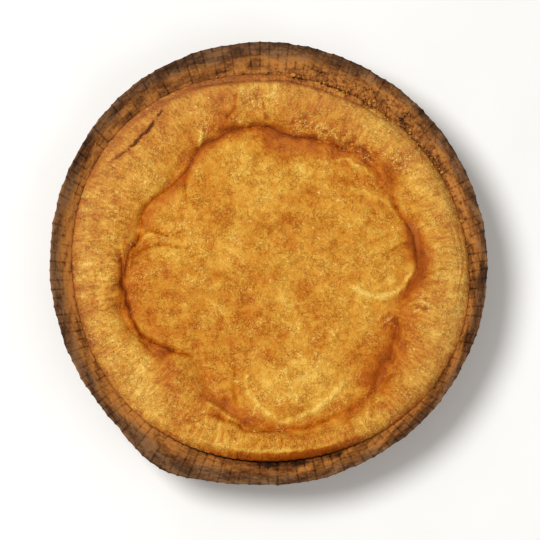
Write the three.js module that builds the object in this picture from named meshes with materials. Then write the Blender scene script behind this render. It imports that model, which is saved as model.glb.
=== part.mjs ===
// A round custard-filled shortcrust cake, baked whole in a pleated brown paper case.
// Units are millimetres, Z is up, and the origin is on the table under the middle of the case.
// Angles run anticlockwise from +X, and -Y is the front of the cake.
import * as THREE from 'three';

// Paper case
const CASE_HEIGHT = 32;
const CASE_BASE_RADIUS = 92.6;
const CASE_RIM_RADIUS = 105.2;
const KNEE_HEIGHT = 23.8; // the wall follows the cake up to here, then leans out
const PAPER = 0.8; // the real paper is thinner, and is drawn stout enough to be a solid
const PLEATS = 144;
const COLUMNS_PER_PLEAT = 3;
const PLEAT_DEPTH_BASE = 1.0;
const PLEAT_DEPTH_KNEE = 0.8;
const PLEAT_DEPTH_RIM = 0.8;

// The rim is squeezed out of round: waves of [count, size, angle of a peak in degrees]
const RIM_WAVES = [[1, 0.6, 180], [2, 1.65, 101], [3, 0.6, 0]];
const RIM_BULGE = { angle: -117, size: 4.6, spread: 11 };

// Cake
const CAKE_RADIUS = 94; // at its widest level
const CAKE_WAVES = [[1, 1.1, -81], [2, 1.85, -37], [3, 0.8, -3], [4, 0.7, -38]];
const WIDEST_HEIGHT = 23.4;
const CROWN_HEIGHT = 28.6; // top of the puffed ring near the edge
const CROWN_PLACE = 0.46; // of the way from the crease out to the edge
const CREASE_HEIGHT = 23.8;
const HOLLOW_HEIGHT = 25.6; // the sunken middle, level with the tops of its shallow pools
const HOLLOW_RISE = 5; // how far inside the crease the middle has puffed up again
const EDGE_ROUNDING = 3.4; // power of the curve from the crown down to the edge
const CROWN_SWELL = { waves: 2, size: 0.5, turn: 1 };
const UNEVENNESS = { size: 0.25, runX: 9, runY: 11 };
const FLATNESS = 4; // power that keeps a dome flat in the middle and round at its edge
const CLEARANCE = 0.4; // between the cake and the paper

// The crease is the outline of five pools of filling that ran together: [x, y, radius]
const POOLS = [[-4, 19, 47.5], [-36, 8, 28], [-44, -17, 25], [12, -32, 48.5], [21, 9, 50]];

// Blisters that stand up inside the crease: [x, y, radius, height]
const BLISTERS = [
  [-45, -17, 22, 1.5],
  [44, 9, 26, 1.3],
  [10, -57, 19, 1.6],
  [-12, 32, 27, 0.9],
  [-6, -14, 25, 0.8],
];

// The crease is deepest at the lower right, and the paper stands off the cake at the front
const DEEP_CREASE = { angle: -38, size: 1.4, spread: 16 };
const FRONT_GAP = { angle: -90, size: 0.8, spread: 28 };

// The thin lip behind the crease along the back edge, and the short crack at the upper left
const BACK_LIP = { angle: 88, spread: 30, inset: 3.2, width: 1.5, depth: 1.1 };
const CRACK = { x: -62, y: 60.5, heading: 42, length: 11, width: 1.8, depth: 1.3 };

// Mesh fineness
const CAKE_COLUMNS = 128;
const RING_BANDS = 11;
const HOLLOW_BANDS = 13;
const SIDE_BANDS = 2;
const CROWDING = 1.4; // how much closer the hollow's rings lie beside the crease

function radians(degrees) {
  return degrees * Math.PI / 180;
}

function lerp(from, to, share) {
  return from + (to - from) * share;
}

// The sum of the waves at an angle
function waves(list, angle) {
  return list.reduce(
    (sum, [count, size, peak]) => sum + size * Math.cos(count * (angle - radians(peak))), 0);
}

// A smooth local rise centred on one direction
function bump({ angle, size, spread }, at) {
  const turn = at - radians(angle);
  const away = Math.atan2(Math.sin(turn), Math.cos(turn)) / radians(spread);
  return size * Math.exp(-away * away);
}

function cakeRadius(angle) {
  return CAKE_RADIUS + waves(CAKE_WAVES, angle);
}

function rimRadius(angle) {
  return CASE_RIM_RADIUS + waves(RIM_WAVES, angle) + bump(RIM_BULGE, angle);
}

// Outside of the wall at the knee, measured over the pleats
function kneeRadius(angle) {
  return cakeRadius(angle) + CLEARANCE + bump(FRONT_GAP, angle) + PAPER + PLEAT_DEPTH_KNEE;
}

// The furthest that any pool reaches along a ray from the middle
function creaseRadius(angle) {
  const reach = POOLS.map(([x, y, radius]) => {
    const along = x * Math.cos(angle) + y * Math.sin(angle);
    const across = x * Math.sin(angle) - y * Math.cos(angle);
    return Math.abs(across) < radius ? along + Math.sqrt(radius ** 2 - across ** 2) : 0;
  });
  return Math.max(...reach);
}

// Puffed ring between the crease and the edge, where share is 0 at the crease and 1 at the edge
function ringHeight(angle, share) {
  const floor = CREASE_HEIGHT - bump(DEEP_CREASE, angle);
  const { waves: count, size, turn } = CROWN_SWELL;
  const crown = CROWN_HEIGHT + size * Math.sin(count * angle + turn);
  if (share < CROWN_PLACE) {
    return crown - (crown - floor) * (1 - share / CROWN_PLACE) ** 2;
  }
  const outward = (share - CROWN_PLACE) / (1 - CROWN_PLACE);
  return crown - (crown - WIDEST_HEIGHT) * outward ** EDGE_ROUNDING;
}

// Sunken middle, by the distance inside the crease
function hollowHeight(angle, inside, x, y) {
  const floor = CREASE_HEIGHT - bump(DEEP_CREASE, angle);
  const domes = BLISTERS.map(([cx, cy, radius, height]) => {
    const share = Math.hypot(x - cx, y - cy) / radius;
    return height * Math.max(0, 1 - share ** FLATNESS);
  });
  const risen = 1 - Math.exp(-inside / HOLLOW_RISE);
  return lerp(floor, HOLLOW_HEIGHT + Math.max(...domes), risen);
}

// Narrow groove just inside the back edge
function backLip(angle, radius) {
  const across = (cakeRadius(angle) - BACK_LIP.inset - radius) / BACK_LIP.width;
  const { angle: middle, spread } = BACK_LIP;
  return bump({ angle: middle, size: BACK_LIP.depth, spread }, angle) * Math.exp(-across * across);
}

// Short straight crack that fades at its ends
function crack(x, y) {
  const heading = radians(CRACK.heading);
  const dx = x - CRACK.x;
  const dy = y - CRACK.y;
  const along = (dx * Math.cos(heading) + dy * Math.sin(heading)) / CRACK.length;
  const across = (dy * Math.cos(heading) - dx * Math.sin(heading)) / CRACK.width;
  return CRACK.depth * Math.exp(-(along ** 4) - across ** 2);
}

// Height of the baked top at a place on it
function topHeight(angle, radius) {
  const crease = creaseRadius(angle);
  const x = radius * Math.cos(angle);
  const y = radius * Math.sin(angle);
  const { size, runX, runY } = UNEVENNESS;
  const uneven = size * Math.sin(x / runX) * Math.cos(y / runY);
  const share = (radius - crease) / (cakeRadius(angle) - crease);
  const body = share < 0
    ? hollowHeight(angle, crease - radius, x, y)
    : ringHeight(angle, share);
  const fade = share > 0 ? 1 - share ** FLATNESS : 1;
  return body + uneven * fade - backLip(angle, radius) - crack(x, y);
}

// A closed solid lofted through rings of equal count, with a fan to a middle point at each end.
// The rings run from the underside outward and up, then inward over the top.
function solidFromRings(rings, firstMiddle, lastMiddle) {
  const columns = rings[0].length;
  const points = [...rings.flat(), firstMiddle, lastMiddle];
  const first = points.length - 2;
  const last = points.length - 1;
  const lastRing = (rings.length - 1) * columns;
  const faces = [];
  for (let i = 0; i < columns; i += 1) {
    const next = (i + 1) % columns;
    faces.push(first, next, i, last, lastRing + i, lastRing + next);
    for (let ring = 0; ring < rings.length - 1; ring += 1) {
      const low = ring * columns;
      const high = low + columns;
      faces.push(low + i, low + next, high + next, low + i, high + next, high + i);
    }
  }
  const geometry = new THREE.BufferGeometry();
  geometry.setAttribute('position', new THREE.Float32BufferAttribute(points.flat(), 3));
  geometry.setIndex(faces);
  geometry.computeVertexNormals();
  return geometry;
}

// One point for each column of a ring, from a function of the angle and the column
function ringOf(columns, place) {
  return Array.from({ length: columns }, (_, column) => {
    const angle = column / columns * 2 * Math.PI;
    const [radius, height] = place(angle, column);
    return [radius * Math.cos(angle), radius * Math.sin(angle), height];
  });
}

function makeCake() {
  const underside = PAPER + CLEARANCE;
  const footRadius = CASE_BASE_RADIUS - PLEAT_DEPTH_BASE - PAPER - CLEARANCE;
  const rings = [];
  for (let k = 0; k < SIDE_BANDS; k += 1) {
    const share = k / SIDE_BANDS;
    rings.push(ringOf(CAKE_COLUMNS, (angle) => [
      lerp(footRadius, cakeRadius(angle), share),
      lerp(underside, WIDEST_HEIGHT, share),
    ]));
  }
  // Closer together beside the edge and the crease, where the surface bends most
  for (let k = 0; k <= RING_BANDS; k += 1) {
    const share = (1 + Math.cos(Math.PI * k / RING_BANDS)) / 2;
    rings.push(ringOf(CAKE_COLUMNS, (angle) => {
      const radius = lerp(creaseRadius(angle), cakeRadius(angle), share);
      return [radius, topHeight(angle, radius)];
    }));
  }
  for (let k = 1; k < HOLLOW_BANDS; k += 1) {
    const share = 1 - (k / HOLLOW_BANDS) ** CROWDING;
    rings.push(ringOf(CAKE_COLUMNS, (angle) => {
      const radius = creaseRadius(angle) * share;
      return [radius, topHeight(angle, radius)];
    }));
  }
  return solidFromRings(rings, [0, 0, underside], [0, 0, topHeight(0, 0)]);
}

function makeCase() {
  // A wall level: its radius over the pleats, its height and how deep its pleats are.
  // Each pleat is a narrow fold that stands outward, with a broad panel between it and the next.
  const base = { radius: () => CASE_BASE_RADIUS, height: 0, depth: PLEAT_DEPTH_BASE };
  const knee = { radius: kneeRadius, height: KNEE_HEIGHT, depth: PLEAT_DEPTH_KNEE };
  const rim = { radius: rimRadius, height: CASE_HEIGHT, depth: PLEAT_DEPTH_RIM };
  const wallRing = (level, inset, height = level.height) => ringOf(
    PLEATS * COLUMNS_PER_PLEAT,
    (angle, column) => {
      const behind = column % COLUMNS_PER_PLEAT === 0 ? 0 : level.depth;
      return [level.radius(angle) - behind - inset, height];
    },
  );
  const rings = [
    wallRing(base, 0),
    wallRing(knee, 0),
    wallRing(rim, 0),
    wallRing(rim, PAPER),
    wallRing(knee, PAPER),
    wallRing(base, PAPER, PAPER),
  ];
  return solidFromRings(rings, [0, 0, 0], [0, 0, PAPER]);
}

function named(name, geometry, color, roughness) {
  const material = new THREE.MeshStandardMaterial({ color, roughness, metalness: 0 });
  const mesh = new THREE.Mesh(geometry, material);
  mesh.name = name;
  return mesh;
}

const group = new THREE.Group();
group.add(named('cake', makeCake(), 0xcd8b36, 0.45));
group.add(named('baking_case', makeCase(), 0x7a5637, 0.8));

export default group;
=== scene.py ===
"""A baked cake in its pleated brown paper case, dressed for Blender.

It makes the crust's relief and browning, the greasy and the dry paper, the loose crumbs, a pale
table, soft light and a camera. Lengths are millimetres in the row's frame until a mesh is made:
Z is up and -Y is the front. Angles are radians anticlockwise from +X, and degrees in the settings.
"""
import math
from types import SimpleNamespace

import bmesh
import bpy
import numpy as np
from mathutils import Matrix, Vector


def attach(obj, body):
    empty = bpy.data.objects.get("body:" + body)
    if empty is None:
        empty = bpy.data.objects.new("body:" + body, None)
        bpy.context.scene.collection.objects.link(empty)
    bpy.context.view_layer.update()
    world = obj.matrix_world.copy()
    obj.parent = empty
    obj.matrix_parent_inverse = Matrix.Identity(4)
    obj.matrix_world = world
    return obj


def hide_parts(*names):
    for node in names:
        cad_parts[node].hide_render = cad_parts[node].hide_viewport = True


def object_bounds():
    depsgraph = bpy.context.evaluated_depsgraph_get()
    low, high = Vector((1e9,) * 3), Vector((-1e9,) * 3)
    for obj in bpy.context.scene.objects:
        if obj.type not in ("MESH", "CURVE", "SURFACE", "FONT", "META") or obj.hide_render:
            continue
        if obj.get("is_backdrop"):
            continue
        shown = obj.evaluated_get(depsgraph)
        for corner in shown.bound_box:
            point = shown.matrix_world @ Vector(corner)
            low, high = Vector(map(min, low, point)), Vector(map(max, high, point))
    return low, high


MM = 0.001

# Sizes that the solids have too. Waves are (count, size, direction of a peak), and a place round the
# cake where something swells is (direction, size, spread).
CASE_HEIGHT = 32.0
CASE_BASE_RADIUS = 92.6
CASE_RIM_RADIUS = 105.2
KNEE_HEIGHT = 23.8
PAPER_IN_SOLIDS = 0.8
PLEATS = 144
PLEAT_DEPTH_BASE = 1.0
PLEAT_DEPTH_KNEE = 0.8
PLEAT_DEPTH_RIM = 0.8
RIM_WAVES = [(1, 0.6, 180), (2, 1.65, 101), (3, 0.6, 0)]
RIM_BULGE = (-117, 4.6, 11)
CAKE_RADIUS = 94.0
CAKE_WAVES = [(1, 1.1, -81), (2, 1.85, -37), (3, 0.8, -3), (4, 0.7, -38)]
WIDEST_HEIGHT = 23.4
CROWN_HEIGHT = 28.6
CROWN_PLACE = 0.46
CROWN_SWELL_WAVES = 2
CROWN_SWELL = 0.5
CROWN_SWELL_TURN = 1
CREASE_HEIGHT = 23.8
HOLLOW_HEIGHT = 25.6
HOLLOW_RISE = 5.0
EDGE_ROUNDING = 3.4
FLATNESS = 4
CLEARANCE = 0.4
POOLS = [(-4, 19, 47.5), (-36, 8, 28), (-44, -17, 25), (12, -32, 48.5), (21, 9, 50)]
BLISTERS = [
    (-45, -17, 22, 1.5),
    (44, 9, 26, 1.3),
    (10, -57, 19, 1.6),
    (-12, 32, 27, 0.9),
    (-6, -14, 25, 0.8),
]
DEEP_CREASE = (-38, 1.4, 16)
FRONT_GAP = (-90, 0.8, 28)

# Relief drawn along smooth paths. Each has a width and then its own amounts.
# Folds: width, depth, lift on the left of the path, browning, path
FOLDS = [
    (0.9, 1.1, 0.5, 0.66, [
        (-70.9, 9.5), (-70.7, 5), (-70.2, 0), (-69.5, -6), (-68.7, -12), (-67.2, -19), (-63.5, -29),
        (-57, -37)]),
    (0.9, 0.5, 0.3, 0.25, [(-70.3, 2.9), (-73, 6.2), (-76.8, 8.3), (-81.6, 9.9)]),
    (0.9, 1.0, 0.4, 0.6, [(-61, 16), (-62.4, 11.5), (-66, 4.7), (-67.9, -2.4), (-69, -8.1)]),
    (1.1, 0.6, 0.2, 0.75, [(-61.3, 14.2), (-62.2, 11.3), (-63.6, 8.6)]),
    (0.9, 0.6, 0.4, 0.35, [(-46.6, 12.5), (-50.4, 14.2), (-54.1, 15.4), (-57.9, 14.7), (-61.9, 10.1)]),
    (1.0, 0.7, 0.6, 0.35, [(-39, 5.8), (-46.5, 8.7), (-53.1, 8.8), (-59.3, 6.2), (-67.1, 1.1)]),
    (1.0, 0.9, 0.6, 0.5, [(-63.7, -28.5), (-58.9, -35.2), (-53.4, -38.7), (-48, -40.7), (-34, -45.2)]),
    (0.8, 0.5, 0.2, 0.35, [(-61.2, -36.7), (-57.3, -39.9), (-54.9, -43), (-52.7, -45.7)]),
    (1.1, 0.9, 0.3, 0.5, [
        (-61.4, 15.5), (-60.6, 20), (-59.2, 25), (-56.8, 29), (-50.2, 34.5), (-42.7, 41), (-38.6, 45.5),
        (-34.6, 53)]),
    (1.4, 0.9, 0.3, 0.6, [
        (-36.5, 49.5), (-33.5, 54.5), (-29.9, 58.4), (-22.8, 61.6), (-16.5, 64.2), (-8.8, 65.4),
        (-2, 66.3)]),
    (1.2, 1.0, 0.5, 0.6, [
        (-11, 65.2), (-6.5, 66.3), (-3, 66.3), (1.6, 65.1), (5.4, 63.4), (9.4, 62), (14.2, 60.7),
        (19.5, 60.3), (26.2, 59.8)]),
    (1.3, 0.8, 0.4, 0.35, [(23, 60.1), (29, 59), (32.3, 57), (38, 54.5), (43.5, 52.6)]),
    (0.8, 0.5, 0.2, 0.3, [(-38.6, 45), (-39.8, 39), (-39.6, 33), (-38.8, 27)]),
    (2.4, 0.4, 0.0, 0.2, [(-2, 65.5), (3.6, 61.2), (7.4, 56.1), (9.7, 50.2), (10.2, 45.4)]),
    (2.0, 0.4, 0.0, 0.2, [(25, 56.1), (25.4, 50.2), (23.4, 44.9), (20.6, 39.5)]),
    (1.4, 0.5, 0.2, 0.25, [
        (36.4, 55.1), (44.4, 50.9), (50.1, 46.8), (52.9, 42.9), (51, 39.1), (46.2, 37.6)]),
    (2.0, 1.1, 0.2, 0.5, [(57.5, 33), (62.6, 24.6), (66.6, 17), (69.3, 9), (71, 2.9)]),
    (0.9, 0.5, 0.2, 0.45, [(64.5, 20.5), (67, 15.5), (69.3, 9.5), (70.6, 4.2)]),
    (1.7, 1.0, 0.2, 0.42, [(70, 7), (71.2, 2), (70.6, -4.8), (66.9, -11.3), (63.3, -17.7)]),
    (0.7, 0.4, 0.3, 0.2, [(55.5, 4.2), (58.8, 5.8), (62.4, 7.9), (65.4, 9), (69.2, 8.7)]),
    (0.8, 0.6, 0.2, 0.3, [(71.8, -8.1), (76.9, -5.9), (80.6, -4.3), (84.6, -3.3)]),
    (1.6, 1.0, 0.2, 0.25, [
        (60.6, -26.7), (60.8, -33.2), (58.4, -41.8), (54.5, -47.1), (50.8, -54.2), (47.9, -62.2),
        (36.2, -71.4)]),
    (0.9, 1.1, 0.2, 0.36, [
        (36.2, -71.4), (20.3, -77.4), (11, -78.8), (-3.5, -80.5), (-9.6, -80.7), (-16.1, -76.4),
        (-31.1, -70.2)]),
    (0.9, 0.5, 0.2, 0.3, [(-16.2, -47.6), (-16.1, -55.1), (-15.5, -62.2), (-14.1, -69.3)]),
    (0.9, 0.6, 0.3, 0.5, [(-15.2, 82.4), (-15.7, 77.6), (-16.5, 73.1), (-18.8, 69.7), (-20, 66.3)]),
    (0.8, 0.6, 0.3, 0.45, [(-0.3, 79.8), (-2.4, 76.3), (-1.7, 72.2), (-0.3, 68.7)]),
    (0.6, 0.35, 0.1, 0.2, [(88.7, 22.1), (90.7, 10.1), (91.5, 0), (90.9, -9.6), (88.6, -22)]),
    (0.6, 0.3, 0.1, 0.15, [(86.8, 18.3), (88.8, 6.7), (89.3, -3.8), (88.3, -14.3)]),
    (1.0, 0.8, 0.2, 0.4, [
        (56.9, 68.7), (43.6, 75.8), (34.1, 80.7), (24.6, 83.4), (16, 87), (4.4, 88.4), (-20, 87),
        (-39.6, 84.4)]),
]
# Ridges: width, height, painted highlight along the crest, path
RIDGES = [
    (1.7, 0.55, 0.1, [
        (36.3, 36), (46.2, 34.4), (54.1, 29.9), (60.9, 23.4), (66.4, 16.3), (68.9, 7.7), (68.4, -0.9)]),
    (1.6, 0.7, 0.28, [
        (68.9, 2), (68, -3), (65.2, -9.1), (59.1, -14.4), (50.6, -16.6), (44, -14.8), (38, -11)]),
    (1.6, 0.6, 0.2, [
        (-9.1, -61.1), (-5.4, -67.9), (2.3, -73.5), (9.1, -75.5), (18, -71.6), (27.1, -66.3),
        (37.7, -53.7)]),
    (1.2, 0.5, 0.15, [(-10.3, -52.3), (-10.1, -58), (-8.6, -63.6)]),
    (0.9, 0.7, 0.3, [(-31.8, 64.4), (-31.3, 61.1), (-32.1, 58), (-32.9, 55.7)]),
    (1.1, 0.6, 0.2, [(3.9, 87.3), (2.8, 82), (-0.7, 79.3), (-3.1, 75.8)]),
    (0.9, 0.5, 0.2, [
        (31.9, 48.2), (34.9, 49.8), (38.7, 50.2), (40.6, 47.1), (44.5, 46.5), (47.2, 43.3), (50.8, 41.1)]),
    (0.9, 0.7, 0.2, [(65.2, -21.3), (67.4, -19.7), (69.9, -19), (72.7, -19.7), (74.6, -21.3)]),
    (0.8, 0.5, 0.2, [(67.3, -24), (70.4, -23.4), (73.1, -24)]),
    (1.1, 0.5, 0.15, [(61.7, -23.7), (62.4, -30.5), (62.7, -37.9)]),
    (1.1, 0.4, 0.1, [(60.3, -39.5), (60.7, -44.7), (58.3, -49.5), (54.5, -55.1)]),
    (1.1, 0.5, 0.2, [(-29.2, -65.5), (-21.7, -70.7), (-13.3, -76.8)]),
]
# Toasted bands: width, browning, path
TOASTED = [
    (2.4, 0.22, [(-69, 12), (-69.3, 5), (-68.3, -8), (-66.8, -18), (-61.5, -30)]),
    (4.5, 0.32, [(-60.5, -36.5), (-53, -41), (-46, -46)]),
    (5.0, 0.3, [(-47, -44), (-48, -52), (-52, -60)]),
    (4.2, 0.25, [(-38.7, -56.5), (-30.1, -62.2), (-23.1, -69.3), (-13.2, -75), (-3, -79.5)]),
    (2.6, 0.3, [(-26, -66), (-18, -70), (-10, -74), (-3, -76.5)]),
    (2.6, 0.1, [(7.3, -79.3), (17.5, -76), (29.2, -70.7), (41.4, -66.5)]),
    (7.5, 0.55, [(58.4, -38), (54.7, -46), (50.9, -54.5), (47, -62)]),
    (3.5, 0.4, [(60.5, -22), (60, -30), (58.5, -38)]),
    (6.0, 0.26, [(63, -18), (65, -28), (61, -38), (57, -46)]),
    (4.0, 0.48, [(64.5, 22), (69.5, 12), (72.5, 2), (70, -9), (62.5, -20)]),
    (5.0, 0.14, [(65, -6), (62, -18), (60, -25)]),
    (6.0, 0.16, [(33.6, 56.3), (45.4, 51.6), (51.5, 44.5), (56, 37), (61, 26)]),
    (5.5, 0.42, [(-4, 62), (6, 59), (18, 56), (27, 55)]),
    (4.5, 0.25, [(24, 56), (33, 53), (40, 50)]),
    (1.7, 0.45, [(-35.5, 51), (-29.5, 58), (-22.5, 61.2), (-16, 63.8), (-9, 65)]),
    (1.9, 0.6, [(-9, 64.6), (0, 64.4), (8, 61.6), (15, 60.4), (24, 59.6)]),
    (2.6, 0.6, [(65, 20), (68.4, 12), (70.3, 4)]),
    (3.2, 0.26, [(-60, 10), (-58.5, 20), (-55, 27), (-47, 35), (-39, 43), (-33, 53), (-22, 60)]),
    (5.0, 0.2, [(-24, 66), (-20, 66)]),
    (2.5, 0.2, [(-49, -1), (-46, -9)]),
    (4.0, 0.16, [(66, -16), (70, -24), (67, -30)]),
]
# The crack at the upper left: width, depth, browning, path
CRACKS = [
    (0.6, 1.6, 1.0, [
        (-55.1, 68.5), (-55.6, 65.5), (-58.3, 62.4), (-61.2, 59.8), (-62.8, 57.5), (-65.4, 54.6)]),
    (0.6, 1.2, 0.8, [(-50.7, 73.1), (-52.8, 70.4)]),
    (0.6, 0.6, 0.4, [(-65.4, 54.6), (-67.4, 53), (-70.6, 52), (-75.3, 48.3)]),
]
# Patches: x, y, radius along X, radius along Y, browning
PATCHES = [
    (-56, -17, 14, 17, 0.16), (0, -87, 42, 7, 0.05), (-21, 68, 7, 6, 0.2), (16, -60, 18, 12, -0.17),
    (-62, -58, 16, 14, -0.14), (70, 40, 10, 18, -0.11), (60, -57, 18, 16, 0.08), (-62, 62, 12, 14, 0.06),
    (-4, 44, 30, 12, -0.16), (30, 66, 14, 6, 0.08), (69, -38, 8, 12, 0.1), (-85, -2, 6, 22, 0.08),
    (77, -10, 6, 8, 0.08), (-80, 38, 8, 11, 0.2), (-70, 54, 5, 6, 0.08), (-78, -31, 10, 10, -0.08),
    (-77, -9, 5, 15, -0.1), (-47, -60, 8, 8, 0.08), (-17, -86, 14, 4, -0.1), (-71, -29, 5, 8, -0.12),
    (80, 42, 8, 16, -0.12), (58, 1, 9, 12, -0.12), (56, 66, 14, 9, -0.12), (-92, 2, 3, 34, 0.1),
    (90, 14, 5, 26, -0.1), (-61, -10, 5, 6, 0.13), (67.8, 17, 3, 8, 0.22),
]
# Bubbly places: x, y, radius
BUBBLY = [
    (-8, 78, 6), (15, 67, 6), (26, 64, 5), (37, 59, 6), (47, 52, 4.5), (62, 48, 5), (72, -20, 4),
    (58, -28, 3.5), (-30, 66, 4),
]

# Fineness
TOP_CELLS = 300
SIDE_ROWS = 4
PATH_STEPS = 5
NOISE_CELLS = 256
LINE_REACH = 1.2  # how far from a fold or ridge its sharp line is carried
SHARP_WIDTH = 1.2  # of the widest fold that is drawn as a sharp line

# The crust's forms
CREASE_WANDER = 0.8
WARPS = [(0.8, 6), (0.3, 2.4)]  # how far places are pushed about, and in lumps of which size
LIP_PLACE = 2.1  # of a fold's raised lip, in widths of the fold
LIP_WIDTH = 1.3
SMOOTHEST = 0.08  # roughness away from the bubbly places
BUBBLE_HEIGHT = 0.7
EDGE_CALM = 6  # the relief fades over this distance from the edge
TORN_LIP = (62, 1, 24)
TORN_WIDTH = 3.6
TORN_DEPTH = 2.0

# Browning of the crust. Beside a line it has an amount and a width.
PLAIN_BAKE = 0.31
BAKE_WAVES = [(2, 0.04, 79.38)]
INNER_BAKE = (0.12, 7)  # inside the crease
OUTER_BAKE = (0.1, 5)
EDGE_BAKE = (0.16, 1.8)
PALE_EDGE = (45, 0.8, 40)
BACK_BAKE = (105, 0.46, 30)
FRONT_LIP = (-82, 1, 15)
FRONT_LIP_WIDTH = 3.6
FRONT_PALE = (-88, 0.24, 28)
SIDE_BAKE = 0.5
BROWNEST = 0.72  # of the open crust, on the shader's scale of browning

# Smooth film in the crease, and where the crust isn't dull or streaked
CREASE_FILM = 0.25
CREASE_FILM_PLACE = 3  # inside the crease, and as wide
DULL_FILM = 0.22
BUTTERY_RING = (-90, 1, 40)
BUTTERY_FILM = (-60, 1, 50)
SMOOTHER_RING = (80, 0.5, 45)

# Paper, thinner here than in the solids
PAPER = 0.35
STICKING = 0.04  # between the paper and the cake that it sticks to
EDGE_FILL = 0.3  # how far the cake swells into the folds of the paper
PRESSED = 0.55  # how much shallower the pleats are where the cake's edge presses on them
UNEVEN_PLEATS = 0.009  # how far a pleat's rim is turned aside
CRUSHED = 0.35
RIM_RAGGED = 0.25
BASE_SLACK = 0.45
COLUMNS_PER_PLEAT = 8
PANEL_FLATNESS = 0.55
OUTER_ROWS = [0, 0.5, 3, 7, 11, 15, 19, 22, 23.4, 24.2, 25.5, 27, 28.5, 30, 31.3]
INNER_ROWS = [31.4, 30.6, 29.8, 29, 28.2, 27.4, 26.6, 25.8, 25, 24.3, 23.7, 23, 20, 14, 7, 1.2]
BASE_ROWS = [0.8, 0.6, 0.3]

# Browning and grease of the paper, and a painted shadow along its front
NOISE_RADIUS = 100  # of the circle along which the paper's noise is read
PAPER_TOAST = 0.295
PAPER_WAVES = [(1, 0.085, 20)]
BROWNER_PAPER = [(-95, 0.153, 50), (132, 0.119, 25)]
SCORCHED = [(-6, 0.45, 2.6), (-22, 0.6, 3.2), (150, 0.3, 5)]
# Painted shadow on the paper under the cake's front edge
SHADED_FRONT = (-86, 0.5, 15)
STUCK_CAKE = (54, 1, 26)
STUCK_HEIGHT = 26
RIM_TIER = 0.06
RIM_TIER_BACK = (95, 0.1, 60)
GREASE_HEIGHT = 28.2  # how far up the wall the grease has crept
GREASE_BACK = (54, 1.2, 30)
OUTSIDE_STAINS = 0.3  # how strongly stains show on the outside, next to 1 inside
BASE_TOAST = 0.3
BASE_GREASE = 0.8
UNDERSIDE_GREASE = 0.5

# Crumbs. Directions and insets have a mean and a spread, and the others two limits.
CRUMBS = 150
CRUMB_SIZES = (0.35, 1.5)
CRUMB_DIRECTIONS = (52, 20)
CRUMB_INSETS = (0.2, 1.3)
CRUMB_BAKES = (0.2, 0.7)
WALL_CRUMBS = 300
WALL_CRUMB_SIZES = (0.3, 1.0)
WALL_CRUMB_DIRECTIONS = (54, 19)
WALL_CRUMB_REACH = (0.3, 6.8)
WALL_CRUMB_BAKES = (0.4, 0.65)
WALL_CRUMB_BURNS = (0.0, 0.25)
WALL_CRUMB_DULLNESS = 0.7
WALL_CRUMB_LIFT = (0.3, 0.8)  # off the wall: a little, and this share of its size
CRUMB_STRETCH = (0.35, 1.0)
CRUMB_ROUGHNESS = (0.6, 1.15)
CRUMB_SEED = 7

# Colours by browning, as they look on a screen
CRUST_COLOURS = [
    (0.0, (238, 192, 92)),
    (0.16, (222, 164, 62)),
    (0.34, (204, 136, 40)),
    (0.52, (188, 106, 18)),
    (0.7, (168, 80, 6)),
    (0.86, (128, 56, 4)),
    (1.0, (88, 36, 6)),
]
DULL_CRUST = (198, 160, 110)
# Pale colour of the painted highlights, where the glaze would catch the light
PAINTED_GLINT = (252, 222, 156)
DRY_PAPER = [(0.0, (130, 92, 60)), (0.5, (80, 52, 32)), (1.0, (38, 23, 16))]
GREASY_PAPER = [(0.0, (186, 122, 56)), (0.45, (130, 79, 34)), (0.8, (80, 44, 20)), (1.0, (38, 22, 14))]
TABLE_COLOURS = [(0.3, (240, 239, 236)), (0.7, (246, 245, 243))]
BLACK = (0, 0, 0, 1)
WHITE = (1, 1, 1, 1)

# Table, light and camera
TABLE_HALF = 3.0  # metres
LIGHTS = [("softbox", (-0.6, 0.2, 1.3), 0.6, 16.5), ("fill", (0.9, -0.8, 1.3), 1.4, 6)]  # metres, watts
LIGHT_AIM = (0, 0, 0.02)
ROOM_COLOUR = (1.0, 0.98, 0.95, 1)
ROOM_STRENGTH = 0.36
CAMERA_TARGET = (0.7, -4.7, 32.0)
CAMERA_DISTANCE = 1200.0
CAMERA_ELEVATION = 80
LENS = 170.4
SENSOR_WIDTH = 36


def radians(degrees):
    return degrees * math.pi / 180


def linear(colour):
    """A colour given as it looks on a screen, from 0 to 255, as the shader's linear colour."""
    shares = [value / 255 for value in colour]
    return (*(s / 12.92 if s <= 0.04045 else ((s + 0.055) / 1.055) ** 2.4 for s in shares), 1.0)


def waves(terms, angle):
    return sum(size * np.cos(count * (angle - radians(peak))) for count, size, peak in terms)


def bump(place, angle):
    """A smooth local rise centred on one direction."""
    middle, size, spread = place
    turn = angle - radians(middle)
    away = np.arctan2(np.sin(turn), np.cos(turn)) / radians(spread)
    return size * gaussian(away)


def bumps(places, angle):
    return sum(bump(place, angle) for place in places)


def gaussian(share):
    return np.exp(-share * share)


def beside_line(browning, distance):
    amount, width = browning
    return amount * gaussian(distance / width)


def ease(share):
    """0 to 1, flat at both ends."""
    share = np.clip(share, 0, 1)
    return share * share * (3 - 2 * share)


def between(limits, share):
    low, high = limits
    return low + (high - low) * share


def flat_place(angle, radius):
    return radius * np.cos(angle), radius * np.sin(angle)


def placed(angle, radius, height):
    """Points from their direction, distance from the axis and height."""
    return np.stack([*flat_place(angle, radius), np.broadcast_to(height, angle.shape)], axis=1)


def cake_radius(angle):
    return CAKE_RADIUS + waves(CAKE_WAVES, angle)


def rim_radius(angle):
    return CASE_RIM_RADIUS + waves(RIM_WAVES, angle) + bump(RIM_BULGE, angle)


def crease_radius(angle):
    """The furthest that any pool reaches along a ray from the middle."""
    furthest = np.zeros_like(angle)
    for x, y, radius in POOLS:
        along = x * np.cos(angle) + y * np.sin(angle)
        across = x * np.sin(angle) - y * np.cos(angle)
        reach = along + np.sqrt(np.maximum(radius ** 2 - across ** 2, 0))
        furthest = np.where(np.abs(across) < radius, np.maximum(furthest, reach), furthest)
    return furthest


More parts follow.
